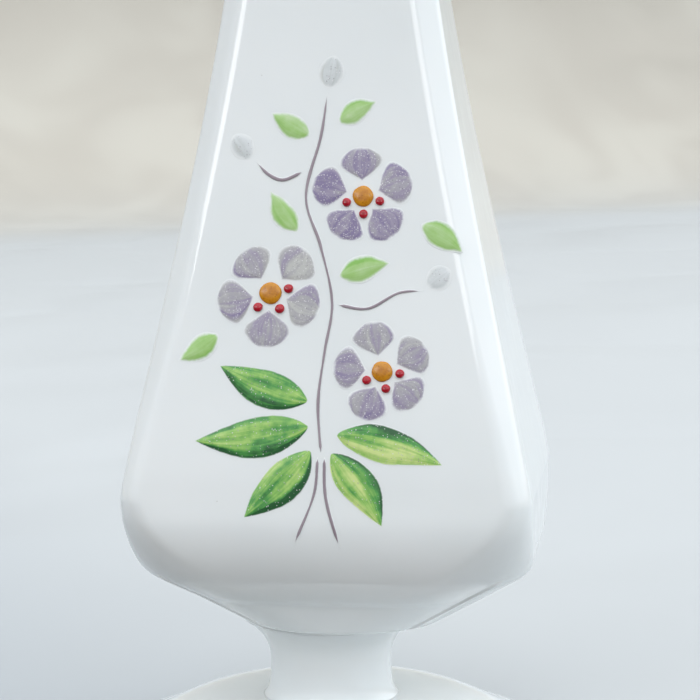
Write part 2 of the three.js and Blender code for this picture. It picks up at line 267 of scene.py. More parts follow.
# The hollow, four sided body. Its front is seen as an outline of half width against height, and
# the depth follows the width. Lengths in mm; a pull is the share of a curve's run that its
# control point reaches.
body = {
    "height": 216.0,
    "width": 76.0,
    "depth": 64.6,
    "widestHeight": 52.5,
    "waistWidth": 32.3,
    "waistDepth": 28.4,
    "waistHeight": 184.0,
    "lipWidth": 45.0,
    "lipDepth": 40.0,
    "corner": 5.3,
    "cornerHeight": 54.0,    # below this the upright corners open out
    "edgeRound": 2.6,        # each corner is a narrow facet between two edges this round
    "facetRise": (38, 95),   # heights over which the round corner below turns into the facet
    "creaseWidth": 61.2,
    "creaseHeight": 32.4,
    "creaseCorner": 20.6,
    "creaseRound": 1.2,      # mm of height over which the crease is softened
    "creaseSoftness": 0.6,
    # half depth and height along the turn of the front face, from the crease up
    "frontTurn": [(24.4, 32.4), (30.83, 35.4), (33.89, 42.98), (32.81, 50.0)],
    "frontStraight": (31.886, 56.0),   # from there straight up to here
    "undersidePull": (0.95, 0.32),     # outwards and upwards from the crease
    "widestPull": (0.93, 0.05),        # below and above the widest level
    "waistPull": (0.325, 0.55),        # below and above the waist
    "wall": 3.6,
    "insideCorner": 2.2,
    "floor": 5.5,
    "bowlRound": 8,          # the higher, the sooner the bowl turns round
    "jointHeight": 26.0,
    "jointRadius": 19.8,
    "jointCorner": 0.96,     # share of the radius that is rounded near the joint
    "ripple": 0.05,          # mm that the glass wanders in and out
    "rippleLength": 24.0,
    "rippleStretch": 1.6,    # ripples are this much longer upwards
    # levels in each stretch, and points along each corner and each side
    "coneSteps": 10,
    "undersideSteps": 44,
    "taperSteps": 110,
    "flareSteps": 32,
    "rimSteps": 12,
    "insideSteps": 90,
    "bowlSteps": 26,
    "cornerSteps": 8,        # for each of a corner's two edges
    "sideSteps": 12,
}


# A level is its half width, half depth, corner radius and height.
def cornerAt(z):
    square = smooth(share(z, body["creaseHeight"], body["cornerHeight"]))
    return mix(body["creaseCorner"], body["corner"], square)


# half depth of the front face below its straight stretch, found by halving the curve
def frontDepth(z):
    turned, straight = body["frontTurn"][-1], body["frontStraight"]
    if z > turned[1]:
        return mix(turned[0], straight[0], share(z, turned[1], straight[1]))
    low, high = 0.0, 1.0
    for _ in range(24):
        t = (low + high) / 2
        depth, reached = bezier(body["frontTurn"], t)
        low, high = (t, high) if reached < z else (low, t)
    return depth


# the shallow cone between the joint and the crease
def coneLevel(t):
    radius = body["jointRadius"]
    return (mix(radius, body["creaseWidth"] / 2, t), mix(radius, body["frontTurn"][0][0], t),
            mix(radius * body["jointCorner"], body["creaseCorner"], t),
            mix(body["jointHeight"], body["creaseHeight"], t))


def undersideLevel(t):
    low, widest = body["creaseHeight"], body["widestHeight"]
    inner, outer = body["creaseWidth"] / 2, body["width"] / 2
    pullOut, pullUp = body["undersidePull"]
    x, z = bezier([(inner, low), (mix(inner, outer, pullOut), mix(low, widest, pullUp)),
                   (outer, mix(widest, low, body["widestPull"][0])), (outer, widest)], t)
    return x, frontDepth(z), cornerAt(z), z


def taperLevel(t):
    low, high = body["widestHeight"], body["waistHeight"]
    wide, narrow = body["width"] / 2, body["waistWidth"] / 2
    x, z = bezier([(wide, low), (wide, mix(low, high, body["widestPull"][1])),
                   (narrow, mix(high, low, body["waistPull"][0])), (narrow, high)], t)
    depth = mix(body["depth"] / 2, body["waistDepth"] / 2, share(x, wide, narrow))
    return x, depth if z > body["frontStraight"][1] else frontDepth(z), cornerAt(z), z


def flareLevel(t):
    low, high = body["waistHeight"], body["height"]
    narrow, lip = body["waistWidth"] / 2, body["lipWidth"] / 2
    x, z = bezier([(narrow, low), (narrow, mix(low, high, body["waistPull"][1])),
                   (lip, high - body["wall"] / 2)], t)
    depth = mix(body["waistDepth"] / 2, body["lipDepth"] / 2, share(x, narrow, lip))
    return x, depth, body["corner"], z


def inward(level, offset, z):
    x, depth, corner, _ = level
    kept = body["insideCorner"] * offset / body["wall"]
    return x - offset, depth - offset, max(corner - offset, kept), z


def rimLevel(t):
    lip = flareLevel(1)
    half = body["wall"] / 2
    return inward(lip, half * (1 - math.cos(t * math.pi)), lip[3] + half * math.sin(t * math.pi))


def insideLevel(t):
    level = flareLevel(1 - t * 2) if t < 0.5 else taperLevel(2 - t * 2)
    return inward(level, body["wall"], level[3])


def bowlLevel(t):
    x, depth, corner, z = inward(taperLevel(0), body["wall"], body["widestHeight"])
    low = body["jointHeight"] + body["floor"]
    turn = math.cos(t * math.pi / 2)
    corner = mix(min(x, depth) * turn * body["jointCorner"], corner, turn ** body["bowlRound"])
    return x * turn, depth * turn, corner, mix(z, low, math.sin(t * math.pi / 2))


def glassRipple(x, y, z):
    size = body["rippleLength"]
    at = Vector((x / size, y / size + 3.1, z / size / body["rippleStretch"]))
    return body["ripple"] * noise.noise(at)


# Points round one level, with their outward directions. A corner is a facet between two rounded
# edges; low down, where the corners open out, the edges grow into one round corner.
def levelRing(level):
    a, b, r, z = level
    edge = min(r, mix(r, body["edgeRound"], smooth(share(z, *body["facetRise"]))))
    ring = []
    for quarter in range(4):
        start = quarter * math.pi / 2
        after = start + math.pi / 2
        cx, nx = (math.copysign(a - r, math.cos(way + math.pi / 4)) for way in (start, after))
        cy, ny = (math.copysign(b - r, math.sin(way + math.pi / 4)) for way in (start, after))
        for side in (0, 1):
            toward = start + side * math.pi / 2
            middle = Vector((math.cos(toward), math.sin(toward), 0)) * (r - edge)
            middle += Vector((cx, cy, z))
            for step in range(body["cornerSteps"] + 1):
                angle = start + (side + step / body["cornerSteps"]) * math.pi / 4
                out = Vector((math.cos(angle), math.sin(angle), 0))
                ring.append((middle + out * edge, out))
        end, out = ring[-1]
        following = Vector((nx, ny, z)) + out * r
        for step in range(1, body["sideSteps"]):
            ring.append((end.lerp(following, step / body["sideSteps"]), out))
    return ring


# levels of the cone and the turn above it, with the crease between them softened
def lowerLevels():
    cone, underside = body["coneSteps"], body["undersideSteps"]
    levels = [coneLevel(i / cone) for i in range(cone + 1)]
    levels += [undersideLevel((i / underside) ** 1.3) for i in range(1, underside + 1)]
    for _ in range(2):
        softened = list(levels)
        for i in range(1, len(levels) - 1):
            near = smooth(1 - abs(levels[i][3] - body["creaseHeight"]) / body["creaseRound"])
            around = [(p + q) / 2 for p, q in zip(levels[i - 1], levels[i + 1])]
            softened[i] = tuple(mix(own, other, near * body["creaseSoftness"])
                                for own, other in zip(levels[i], around))
        levels = softened
    return levels


# the levels of a stretch that starts where the one before it ended
def levelsOf(levelAt, steps):
    return [levelAt(i / steps) for i in range(1, steps + 1)]


# The outside ripples a little. The rim and the inside don't, and the bowl's last level is a point.
def makeBody():
    outside = lowerLevels() + levelsOf(taperLevel, body["taperSteps"])
    outside += levelsOf(flareLevel, body["flareSteps"])
    inside = levelsOf(rimLevel, body["rimSteps"]) + levelsOf(insideLevel, body["insideSteps"])
    inside += levelsOf(bowlLevel, body["bowlSteps"])[:-1]
    verts = []
    for level in outside:
        for point, out in levelRing(level):
            verts.append(point + out * glassRipple(*point) + setOff)
    for level in inside:
        verts += [point + setOff for point, out in levelRing(level)]
    bottom = len(verts)
    count = bottom // len(outside + inside)
    faces = gridFaces(len(outside + inside), count, True)
    verts += [Vector((0, 0, level[3])) + setOff for level in (outside[0], inside[-1])]
    for i in range(count):
        j = (i + 1) % count
        faces += [(bottom, j, i), (bottom + 1, bottom - count + i, bottom - count + j)]
    newPiece("vaseBody", verts, faces, "milk_glass", "vase_body")


makeBody()
print("body blown")


# Wafer, stem and foot are turned shapes on the same axis. Lengths in mm.
wafer = {"thickness": 1.1, "overhang": 0.7}
stem = {
    "radius": 11.7,
    "footRadius": 13.2,
    "topRadius": 16.2,
    "narrowAt": 0.44,        # share of its height where it is narrowest
    "spreadPull": 0.2,       # how far down the narrow part reaches before it spreads to the foot
    "risePull": 0.5,         # and how far up towards the body
    "flarePull": (0.45, 0.75),
}
foot = {
    "radius": 41.5,
    "topHeight": 9.8,
    "edgeHeight": 2.8,
    "edgeRound": 1.0,
    "edgePull": (0.9, 0.25), # mm below the edge's height
    "seatMargin": 0.6,
    "domeOuter": (0.69, 0.65),   # shares of the way out from the stem and down to the edge
    "domeInner": (0.61, -0.12),
    "ringWidth": 4.0,
    "hollow": 5.5,
    "hollowFlat": 0.6,       # share of the hollow's radius that stays nearly level
}


# a turned solid from its profile, radius against height, which starts and ends on the axis
def turnedPiece(name, profile, node, segments=160):
    verts, faces, rings = [], [], []
    for radius, z in profile:
        if radius < 1e-6:
            rings.append([len(verts)] * segments)
            verts.append(Vector((0, 0, z)))
            continue
        rings.append([len(verts) + i for i in range(segments)])
        for i in range(segments):
            angle = i / segments * math.tau
            verts.append(Vector((radius * math.cos(angle), radius * math.sin(angle), z)))
    for low, high in zip(rings, rings[1:]):
        for i in range(segments):
            j = (i + 1) % segments
            corners = list(dict.fromkeys((low[i], low[j], high[j], high[i])))
            if len(corners) > 2:
                faces.append(corners)
    newPiece(name, verts, faces, "milk_glass", node)


# a rounded edge, turned from one angle to another about a centre
def roundEdge(cx, cz, radius, start, end, steps=8):
    turns = [math.radians(mix(start, end, i / steps)) for i in range(steps + 1)]
    return [(cx + radius * math.cos(a), cz + radius * math.sin(a)) for a in turns]


def makeWafer():
    top = body["jointHeight"]
    half = wafer["thickness"] / 2
    edge = stem["topRadius"] + wafer["overhang"] - half
    rounded = roundEdge(edge, top - half, half, -90, 90)
    turnedPiece("jointWafer", [(0, top - 2 * half), *rounded, (0, top)], "joint_wafer")


def makeStem():
    low, high = foot["topHeight"], body["jointHeight"] - wafer["thickness"]
    waist = mix(low, high, stem["narrowAt"])
    radius, top = stem["radius"], stem["topRadius"]
    spread = curvePoints([(stem["footRadius"], low), (radius, mix(low, waist, stem["spreadPull"])),
                          (radius, waist)], 14)
    out, up = stem["flarePull"]
    rise = curvePoints([(radius, waist), (radius, mix(waist, high, stem["risePull"])),
                        (mix(radius, top, out), mix(waist, high, up)), (top, high)], 26)
    turnedPiece("stem", [(0, low), *spread, *rise[1:], (0, high)], "stem")


def makeFoot():
    seat = stem["footRadius"] + foot["seatMargin"]
    radius, round_ = foot["radius"], foot["edgeRound"]
    edge = radius - round_ / 2
    high, low = foot["topHeight"], foot["edgeHeight"]
    outer, inner = ((mix(seat, edge, out), mix(high, low, down))
                    for out, down in (foot["domeOuter"], foot["domeInner"]))
    dome = curvePoints([(edge, low), outer, inner, (seat, high)], 60)
    ringOutside = radius - round_
    ringInside = ringOutside - foot["ringWidth"]
    hollow = curvePoints([(0, foot["hollow"]), (ringInside * foot["hollowFlat"], foot["hollow"]),
                          (ringInside, 0)], 40)
    lowEdge = roundEdge(ringOutside, round_, round_, -90, 0)
    highEdge = curvePoints([*((radius, low - pull) for pull in foot["edgePull"]), (edge, low)], 8)
    turnedPiece("foot", [*hollow, *lowEdge, *highEdge, *dome[1:], (0, high)], "foot")


makeWafer()
makeStem()
makeFoot()
print("wafer, stem and foot turned")


# The spray is drawn on a sheet that narrows upwards as the front face does, in mm from the
# middle of its lower edge, and is carried from there onto the glass.
sheet = {
    "height": 90.0,
    "lowerHalf": 31.0,
    "upperHalf": 14.8,
    "drop": 8.0,             # mm below the widest level where the sheet starts
    "headroom": 50.0,        # mm below the waist where it ends
    "margin": 1.5,           # mm kept free beside the corners
    "bedding": 0.03,         # mm that the fired paint reaches into the skin of the glass
    "lowerRows": 60,
    "upperRows": 200,
}
faceRows = [undersideLevel(i / sheet["lowerRows"]) for i in range(sheet["lowerRows"] + 1)]
faceRows += [taperLevel(i / sheet["upperRows"]) for i in range(1, sheet["upperRows"] + 1)]


# depth of the front face at a height, and half the width of its flat part
def faceAt(z):
    high = next(i for i, row in enumerate(faceRows) if row[3] >= z)
    a, b = faceRows[high - 1], faceRows[high]
    t = share(z, a[3], b[3])
    return mix(a[1], b[1], t), mix(a[0] - a[2], b[0] - b[2], t)


def onGlass(x, y, lift):
    up = y / sheet["height"]
    z = mix(body["widestHeight"] - sheet["drop"], body["waistHeight"] - sheet["headroom"], up)
    depth = faceAt(z)[0]
    flatHalf = faceAt(max(z, body["widestHeight"]))[1]
    x = x / mix(sheet["lowerHalf"], sheet["upperHalf"], up) * (flatHalf - sheet["margin"])
    return Vector((x, -depth - glassRipple(x, -depth, z) - lift, z)) + setOff


# Enamel: ground coloured glass in oil, laid on with a loaded brush and fired until it melts onto
# the vase. The eye sees a soft wash that runs thin at its edge, where the white glass comes
# through, streaks that follow the brush, and fine silvery mica. Tones run from the brush's dark
# load to its light one.
petalEnamel = {
    "slot": "petal_enamel",
    "name": "mauve enamel with mica",
    "tones": [(0.0, "#7b6d97"), (0.35, "#978ea6"), (0.65, "#a5a3a9"), (1.0, "#bbbcb9")],
    "cover": 0.94,           # share of the glass hidden where the paint is full
    "fade": 0.75,            # mm over which the paint runs out at its edge
    "darkSide": 0.16,        # how much darker one side of the stroke is
    "streaks": 0.6,
    "bristle": 0.5,          # mm between bristle marks
    "roughness": 0.4,
    "mica": 0.42,            # share of the cells that hold a flake
}
darkLeafEnamel = {
    "slot": "dark_leaf_enamel",
    "name": "green enamel, dark on one side of the brush",
    "tones": [(0.0, "#285c34"), (0.3, "#4f9a4b"), (0.6, "#93c463"), (1.0, "#cfe192")],
    "cover": 1.0,
    "fade": 0.3,
    "darkSide": 0.62,
    "bristle": 0.55,
    "roughness": 0.32,
    "mica": 0.1,
}
lightLeafEnamel = {
    "slot": "light_leaf_enamel",
    "name": "spring green enamel",
    "tones": [(0.0, "#7db846"), (0.35, "#98c56b"), (0.7, "#abcf8a"), (1.0, "#c3d8ab")],
    "cover": 0.96,
    "fade": 0.8,
    "darkSide": 0.3,
    "bristle": 0.6,
    "roughness": 0.34,
}
budEnamel = {
    "slot": "bud_enamel",
    "name": "pearl white enamel",
    "tones": [(0.0, "#b4b6ae"), (0.4, "#c6cccd"), (1.0, "#dce1e4")],
    "cover": 0.9,
    "fade": 0.9,
    "darkSide": 0.25,
    "bristle": 0.5,
    "roughness": 0.36,
    "mica": 0.2,
}
stalkEnamel = {
    "slot": "stalk_enamel",
    "name": "brown mauve enamel, liner brush",
    "tones": [(0.0, "#7c6b77"), (0.5, "#8d7f89"), (1.0, "#a79ca3")],
    "cover": 0.95,
    "fade": 0.14,
    "darkSide": 0.0,
    "bristle": 0.3,
    "roughness": 0.4,
    "grain": 0.01,
}
# what these have alike where they don't say otherwise, sizes in mm
enamelWash = {
    "broadStreak": 2.0,
    "patch": 1.6,
    "flake": 0.26,           # from flake to flake
    # painted glint: the dull and bright colours of the mica flakes
    "flakeGlintTones": ("#77727d", "#ececee"),
    "relief": 0.02,          # height of the bristle marks
    "grainSize": 0.35,
    "grain": 0.012,          # its height
    "streaks": 0.5,
    "mica": 0.0,
}


# Each stroke carries two vectors: strokeShare holds mm to the stroke's edge, place across it from
# -1 to 1 and the load of the brush; strokeMm holds mm along and across the brush, and a number
# that differs by stroke.
def makeStrokeEnamel(look):
    look = {**enamelWash, **look}
    material, tree = newMaterial(look["name"])
    shares = addNode(tree, "Attribute", {}, attribute_name="strokeShare").outputs["Vector"]
    parts = addNode(tree, "SeparateXYZ", {"Vector": shares}).outputs
    places = addNode(tree, "Attribute", {}, attribute_name="strokeMm").outputs["Vector"]
    object_ = addNode(tree, "TexCoord", {}).outputs["Object"]

    # bristle marks run along the stroke, in broad soft bands with finer ones inside
    fine = addNode(tree, "Mapping", {"Vector": places, "Scale": (0.1, 1 / look["bristle"], 7)})
    bristles = addNode(tree, "TexNoise", {"Vector": fine, "Scale": 1.0, "Distortion": 0.4})
    broad = addNode(tree, "Mapping", {
        "Vector": places, "Scale": (0.12, 1 / look["broadStreak"], 3)})
    bands = addNode(tree, "TexNoise", {"Vector": broad, "Scale": 1.0, "Detail": 1.0})
    patches = addNode(tree, "TexNoise", {
        "Vector": object_, "Scale": 1000 / look["patch"], "Detail": 3.0, "Roughness": 0.6})

    # how light the paint is: the brush's load, its dark side, and the streaks
    dark = addNode(tree, "MapRange", {
        "Value": parts["Y"], "From Min": 0.1, "From Max": 0.95, "To Max": -look["darkSide"]},
        interpolation_type="SMOOTHSTEP")
    lightness = addNode(tree, "Math", {0: parts["Z"], 1: dark}, operation="ADD")
    for texture, strength in ((bands, 1.0), (bristles, 0.6), (patches, 0.5)):
        half = look["streaks"] * strength / 2
        amount = addNode(tree, "MapRange", {
            "Value": texture, "From Min": 0.3, "From Max": 0.7, "To Min": -half, "To Max": half})
        lightness = addNode(tree, "Math", {0: lightness, 1: amount}, operation="ADD")
    colours = addNode(tree, "ValToRGB", {"Fac": lightness})
    ramp = colours.color_ramp
    ramp.elements[0].color = linear(look["tones"][0][1])
    ramp.elements[1].color = linear(look["tones"][-1][1])
    for place, tone in look["tones"][1:-1]:
        ramp.elements.new(place).color = linear(tone)

    # mica flakes in the paint are real, but their sparkle is painted glint: each flake gets a random
    # grey to near-white colour, the bright ones standing in for flakes that catch the light
    flakes = addNode(tree, "TexVoronoi", {"Vector": object_, "Scale": 1000 / look["flake"]})
    flakeParts = addNode(tree, "SeparateColor", {"Color": flakes.outputs["Color"]}).outputs
    near = addNode(tree, "MapRange", {
        "Value": flakes, "From Min": 0.25, "From Max": 0.5, "To Min": 0.9, "To Max": 0.0},
        interpolation_type="SMOOTHSTEP")
    picked = addNode(tree, "Math", {0: flakeParts["Red"], 1: look["mica"]}, operation="LESS_THAN")
    flakeMask = addNode(tree, "Math", {0: near, 1: picked}, operation="MULTIPLY")
    dull, bright = look["flakeGlintTones"]
    flakeTone = addNode(tree, "Mix", {
        0: flakeParts["Green"], 6: dull, 7: bright}, data_type="RGBA")
    paint = addNode(tree, "Mix", {0: flakeMask, 6: colours, 7: flakeTone}, data_type="RGBA")

    # the wash thins out raggedly at its edge and lets the white glass through
    ragged = addNode(tree, "Math", {
        0: patches, 1: look["fade"], 2: -0.5 * look["fade"]}, operation="MULTIPLY_ADD")
    reach = addNode(tree, "Math", {0: parts["X"], 1: ragged}, operation="ADD")
    cover = addNode(tree, "MapRange", {
        "Value": reach, "From Max": look["fade"], "To Max": look["cover"]},
        interpolation_type="SMOOTHSTEP")
    seen = addNode(tree, "Mix", {0: cover, 6: milkGlass["colour"], 7: paint}, data_type="RGBA")

    relief = addNode(tree, "Bump", {"Height": bristles, "Distance": look["relief"] * mm})
    grain = addNode(tree, "TexNoise", {"Vector": object_, "Scale": 1000 / look["grainSize"]})
    surface = addNode(tree, "Bump", {
        "Height": grain, "Normal": relief, "Distance": look["grain"] * mm})
    shader = addNode(tree, "BsdfPrincipled", {
        "Base Color": seen, "Normal": surface, "IOR": 1.5, "Metallic": 0.0,
        "Roughness": look["roughness"]})
    addNode(tree, "OutputMaterial", {"Surface": shader})
    return material


# Bead enamels are thick drops of clear coloured glass over a darker ground, so they are glossy
# and deeper in colour towards the middle, where the drop is thickest.
amberEnamel = {
    "slot": "amber_enamel",
    "name": "amber bead enamel",
    "deep": "#b06a08",
    "thin": "#cf8d1c",
    "roughness": 0.24,
    "speck": "#7c4308",
}
rubyEnamel = {
    "slot": "ruby_enamel",
    "name": "ruby bead enamel",
    "deep": "#93061a",
    "thin": "#b9162c",
    "roughness": 0.1,
    "speck": "#70040f",
}
beadGlass = {"mottle": 0.8, "speckSpacing": 0.55, "skin": 0.03}   # mm


def makeBeadEnamel(look):
    material, tree = newMaterial(look["name"])
    shares = addNode(tree, "Attribute", {}, attribute_name="strokeShare").outputs["Vector"]
    outward = addNode(tree, "SeparateXYZ", {"Vector": shares}).outputs["X"]
    object_ = addNode(tree, "TexCoord", {}).outputs["Object"]
    mottle = addNode(tree, "TexNoise", {
        "Vector": object_, "Scale": 1000 / beadGlass["mottle"], "Detail": 3.0, "Roughness": 0.6})
    thickness = addNode(tree, "Math", {0: outward, 1: 0.35, 2: mottle}, operation="MULTIPLY_ADD")
    shade = addNode(tree, "MapRange", {
        "Value": thickness, "From Min": 0.35, "From Max": 0.95}, interpolation_type="SMOOTHSTEP")
    colour = addNode(tree, "Mix", {0: shade, 6: look["deep"], 7: look["thin"]}, data_type="RGBA")
    specks = addNode(tree, "TexVoronoi", {
        "Vector": object_, "Scale": 1000 / beadGlass["speckSpacing"]})
    speckMask = addNode(tree, "MapRange", {
        "Value": specks, "From Min": 0.1, "From Max": 0.3, "To Min": 0.55, "To Max": 0.0})
    speckled = addNode(tree, "Mix", {0: speckMask, 6: colour, 7: look["speck"]}, data_type="RGBA")
    skin = addNode(tree, "Bump", {"Height": mottle, "Distance": beadGlass["skin"] * mm})
    shader = addNode(tree, "BsdfPrincipled", {
        "Base Color": speckled, "Normal": skin, "IOR": 1.55, "Metallic": 0.0,
        "Roughness": look["roughness"]})
    addNode(tree, "OutputMaterial", {"Surface": shader})
    return material


for look in (petalEnamel, darkLeafEnamel, lightLeafEnamel, budEnamel, stalkEnamel):
    materials[look["slot"]] = makeStrokeEnamel(look)
for look in (amberEnamel, rubyEnamel):
    materials[look["slot"]] = makeBeadEnamel(look)
print("materials mixed")


# A closed pad on the glass from a grid of points, each x, y, lift, strokeShare and strokeMm. A
# drop's rows are closed rings round a flat middle.
def padPiece(name, grid, drop, slot, node):
    rows, columns = len(grid), len(grid[0])
    points = [point for row in grid for point in row]
    verts = [onGlass(x, y, lift) for x, y, lift, _, _ in points]
    verts += [onGlass(x, y, -sheet["bedding"]) for x, y, *_ in points]
    under = rows * columns
    faces = []
    for quad in gridFaces(rows, columns, drop):
        faces += [quad, tuple(under + i for i in reversed(quad))]
    first, last = list(range(columns)), list(range(under - columns, under))
    if drop:
        outside = last
        faces += [tuple(first), tuple(under + i for i in reversed(first))]
    else:
        outside = first[:-1] + list(range(columns - 1, under - 1, columns))
        outside += last[:0:-1] + list(range(under - columns, 0, -columns))
    for a, b in zip(outside, outside[1:] + outside[:1]):
        faces.append((b, a, under + a, under + b))
    piece = newPiece(name, verts, faces, slot, node)
    for label, column in (("strokeShare", 3), ("strokeMm", 4)):
        layer = piece.data.attributes.new(label, "FLOAT_VECTOR", "POINT")
        values = [value for point in points for value in point[column]]
        layer.data.foreach_set("vector", values * 2)


# Widths along a stroke, as shares of its widest, from its base at 0 to its tip at 1
def bump(t):
    return max(0.0, math.sin(math.pi * min(1.0, max(0.0, t))))


def petalShape(t):
    return bump(t ** 1.25) ** mix(1, 0.55, t)


def leafShape(t):
    return bump(t ** 0.8) ** 0.9


def budShape(t):
    return bump(t) ** 0.6


# How a flat brush lays the paint. Sizes in mm, across and along the brush where there are two.
brush = {
    "spacing": 0.45,         # from point to point of the pad
    "fewest": (12, 18),      # points across and along
    "tip": 0.012,            # share of the width left at the ends
    "wobble": 0.09,          # share that the edge wanders
    "edge": 1.5,             # over which the paint falls away at its edge
    "thickness": 0.8,        # shares of the stroke's height: its level, ridges and swells
    "ridge": 0.14,
    "ridgeSize": (0.55, 7),
    "swell": 0.26,
    "swellSize": (2.4, 3.6),
}


# A brush stroke from its base along an angle, as a pad with a rounded edge and bristle ridges.
def brushStroke(node, stroke, widthAt, height, load, slot):
    length, width = stroke["length"], stroke["width"]
    angle = math.radians(stroke["angle"])
    seed = stroke["x"] * 1.7 + stroke["y"] * 0.9 + stroke["angle"] * 0.13
    columns = max(brush["fewest"][0], round(width / brush["spacing"]))
    rows = max(brush["fewest"][1], round(length / brush["spacing"]))
    ridgeAcross, ridgeAlong = brush["ridgeSize"]
    swellAcross, swellAlong = brush["swellSize"]
    grid = []
    for r in range(rows + 1):
        t = (1 - math.cos(r / rows * math.pi)) / 2
        half = width / 2 * max(widthAt(t), brush["tip"])
        wobble = brush["wobble"] * noise.noise(Vector((t * 3.1, seed, 0.5)))
        along = length * t
        side = stroke.get("bend", 0) * 4 * t * (1 - t)
        row = []
        for c in range(columns + 1):
            s = math.sin((c / columns - 0.5) * math.pi)
            across = side + s * half * (1 + wobble * math.copysign(1, s))
            x = stroke["x"] + along * math.cos(angle) - across * math.sin(angle)
            y = stroke["y"] + along * math.sin(angle) + across * math.cos(angle)
            bristle = s * width / 2
            ridge = noise.noise(Vector((bristle / ridgeAcross, along / ridgeAlong, seed)))
            swell = noise.noise(Vector((bristle / swellAcross, along / swellAlong, seed + 9)))
            rim = min((1 - abs(s)) * half, min(t, 1 - t) * length)
            level = brush["thickness"] + brush["ridge"] * ridge + brush["swell"] * swell
            lift = height * smooth(rim / brush["edge"]) * level
            row.append((x, y, lift, (rim, s, load), (along, bristle, seed)))
        grid.append(row)
    padPiece("paint_" + node, grid, False, slot, node)


drops = {
    "rings": 9,
    "segments": 36,
    "flat": 0.08,            # of the quarter turn from the middle to the edge, left flat
    "wobble": 0.07,          # share that a drop is out of true
    "fullness": 2.6,
    "shoulder": 0.85,
}


# A round drop of enamel, a little out of true. The first number of its strokeShare runs from 0 in
# the middle to 1 at its edge.
def drop(name, x, y, radius, height, slot, node):
    seed = x * 2.3 + y * 1.1
    rings, segments, flat = drops["rings"], drops["segments"], drops["flat"]
    grid = []
    for r in range(rings + 1):
        t = math.sin((flat + (1 - flat) * r / rings) * math.pi / 2)
        lift = height * math.sqrt(max(0.0, 1 - t ** drops["fullness"])) ** drops["shoulder"]
        row = []
        for c in range(segments):
            angle = c / segments * math.tau
            way = Vector((math.cos(angle), math.sin(angle), seed))
            reach = radius * t * (1 + drops["wobble"] * noise.noise(way * 1.1))
            across, up = reach * math.cos(angle), reach * math.sin(angle)
            row.append((x + across, y + up, lift, (t, 0.0, 0.5), (across, up, seed)))
        grid.append(row)
    padPiece(name, grid, True, slot, node)


# smooth curve through the points, as evenly spaced points, and its length
def throughPoints(points, spacing, steps=40):
    points = [Vector(p).to_3d() for p in points]
    ends = [points[0] * 2 - points[1], *points, points[-1] * 2 - points[-2]]
    line = []
    for i in range(1, len(ends) - 2):
        a, b, c, d = ends[i - 1:i + 3]
        for step in range(steps):
            t = step / steps
            line.append(((b * 2) + (c - a) * t + (a * 2 - b * 5 + c * 4 - d) * t * t
                         + (b * 3 - a - c * 3 + d) * t ** 3) / 2)
    line.append(points[-1])
    total = sum((q - p).length for p, q in zip(line, line[1:]))
    count = max(8, round(total / spacing))
    result, gone, next_ = [line[0]], 0.0, 1
    for p, q in zip(line, line[1:]):
        piece = (q - p).length
        while next_ < count and gone + piece >= total * next_ / count:
            result.append(p.lerp(q, (total * next_ / count - gone) / piece))
            next_ += 1
        gone += piece
    result.append(line[-1])
    return result, total


# How a liner brush draws a stalk. Sizes in mm.
liner = {
    "width": 0.62,
    "height": 0.16,
    "spacing": 0.5,
    "columns": 6,
    "press": 0.3,            # share that its width changes with the hand
    "pressLength": 6,
    "tip": 0.12,             # share of the width left at the ends
    "taper": (1.0, 3.0),     # length of the point at its start and at its end
}


# A liner stroke: thin, a little thicker where the brush was pressed, tapering at its ends.
def linerStroke(name, points):
    line, total = throughPoints(points, liner["spacing"])
    seed = points[0][0] * 3.1 + points[-1][1]
    start, end = liner["taper"]
    columns = liner["columns"]
    grid = []
    for r, point in enumerate(line):
        t = r / (len(line) - 1)
        before, after = line[max(0, r - 1)], line[min(len(line) - 1, r + 1)]
        way = (after - before).normalized()
        hand = noise.noise(Vector((t * total / liner["pressLength"], seed, 0)))
        press = 1 + liner["press"] * hand
        taper = max(liner["tip"], smooth(min(t * total / start, (1 - t) * total / end)))
        half = liner["width"] / 2 * press * taper
        row = []
        for c in range(columns + 1):
            s = math.sin((c / columns - 0.5) * math.pi)
            x, y = point.x - way.y * s * half, point.y + way.x * s * half
            lift = liner["height"] * math.sqrt(max(0.0, 1 - s * s)) * press * taper
            row.append((x, y, lift, ((1 - abs(s)) * half, s, 0.5), (t * total, s * half, seed)))
        grid.append(row)
    padPiece("paint_" + name, grid, False, "stalk_enamel", name)


# The spray: three round blossoms, leaves and buds on a curving stalk. Places are on the sheet,
# angles in degrees anticlockwise from the right, lengths in mm, and the rest shares of the
# blossom's radius or of the stroke.
petals = {
    "height": 0.17,
    "inner": 0.28,
    "width": 0.84,
    "lighter": 0.16,         # load that petals gain towards the upper right
    "lightest": 60,          # degrees
    # the five petals' shares of length and width, turn in degrees, and bend
    "forms": [(1.0, 1.0, 0, 0.02), (0.92, 1.02, 1.5, 0), (1.02, 0.96, 1.5, -0.02),
              (0.9, 0.98, 0, 0.02), (0.97, 1.0, -1.5, 0.02)],
}
beads = {
    "amberHeight": 0.6,
    "amberRadius": 0.2,
    "rubyHeight": 0.7,
    "rubyRadius": 0.085,
    "rubyPlace": 0.335,      # from the blossom's middle
    "perBlossom": 3,
}
blossoms = [
    {"name": "upper", "x": 7, "y": 64, "size": 19, "turn": 20, "firstForm": 0, "load": 0.34},
    {"name": "middle", "x": -9.5, "y": 46.5, "size": 20, "turn": 50, "firstForm": 2, "load": 0.62},
    {"name": "lower", "x": 10.5, "y": 32.5, "size": 18.5, "turn": 30, "firstForm": 4, "load": 0.5},
]


